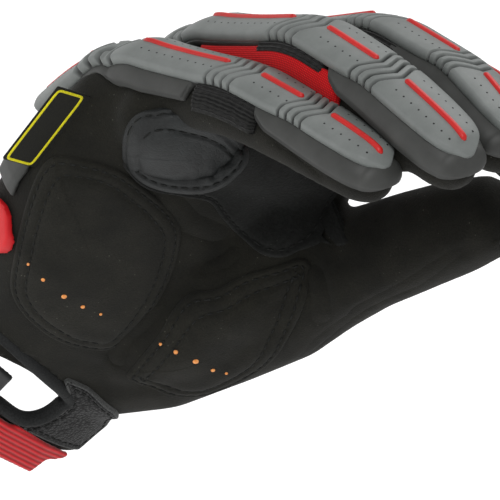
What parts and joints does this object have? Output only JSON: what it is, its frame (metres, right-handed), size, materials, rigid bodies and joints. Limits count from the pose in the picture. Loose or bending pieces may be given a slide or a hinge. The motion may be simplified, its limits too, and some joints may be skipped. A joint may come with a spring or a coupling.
{
  "type": "mechanic glove",
  "caption": "Right-hand work glove in a curled grip, black palm with stitched pads, grey rubber guards with red beads over the fingers and knuckles, open at the wrist.",
  "frame": {"origin": "middle of the cuff's open mouth", "axes": "+Z from the mouth toward the knuckles, +Y out of the back of the hand, +X toward the thumb side"},
  "size_m": [0.1158, 0.1291, 0.2009],
  "materials": {
    "base_rubber": "satin",
    "bead_rubber": "satin",
    "binding_tape": "bound edge",
    "elastic_rib": "ribbed elastic",
    "flex_knit": "ribbed knit",
    "guard_rubber": "satin",
    "label_fabric": "woven",
    "loop_fabric": "loop pile",
    "pad_leather": "matte suede",
    "palm_leather": "matte suede",
    "patch_leather": "matte grained",
    "side_mesh": "open mesh",
    "strap_rubber": "satin",
    "tab_rubber": "satin"
  },
  "bodies": {
    "root": {"pinky_guard_base": "base_rubber", "pinky_guard": "guard_rubber", "pinky_bead_metacarpal": "bead_rubber", "pinky_bead_proximal": "bead_rubber", "pinky_bead_middle": "bead_rubber", "pinky_bead_distal": "bead_rubber", "ring_guard_base": "base_rubber", "ring_guard": "guard_rubber", "ring_bead_metacarpal": "bead_rubber", "ring_bead_proximal": "bead_rubber", "ring_bead_middle": "bead_rubber", "ring_bead_distal": "bead_rubber", "middle_guard_base": "base_rubber", "middle_guard": "guard_rubber", "middle_bead_metacarpal": "bead_rubber", "middle_bead_proximal": "bead_rubber", "middle_bead_middle": "bead_rubber", "middle_bead_distal": "bead_rubber", "index_guard_base": "base_rubber", "index_guard": "guard_rubber", "index_bead_metacarpal": "bead_rubber", "index_bead_proximal": "bead_rubber", "index_bead_middle": "bead_rubber", "index_bead_distal": "bead_rubber", "pinky_knit_panel": "flex_knit", "ring_knit_panel": "flex_knit", "ring_side_mesh": "side_mesh", "middle_knit_panel": "flex_knit", "middle_side_mesh": "side_mesh", "index_knit_panel": "flex_knit", "index_side_mesh": "side_mesh", "hand_shell": "palm_leather", "heel_pad": "pad_leather", "thumb_pad": "pad_leather", "knuckle_pad": "pad_leather", "oval_pad": "patch_leather", "side_label": "label_fabric", "wrist_binding": "binding_tape", "loop_patch": "loop_fabric", "cuff_elastic": "elastic_rib", "strap_tab": "strap_rubber", "wrist_tab": "tab_rubber", "back_side_panel": "base_rubber"}
  },
  "joints": []
}
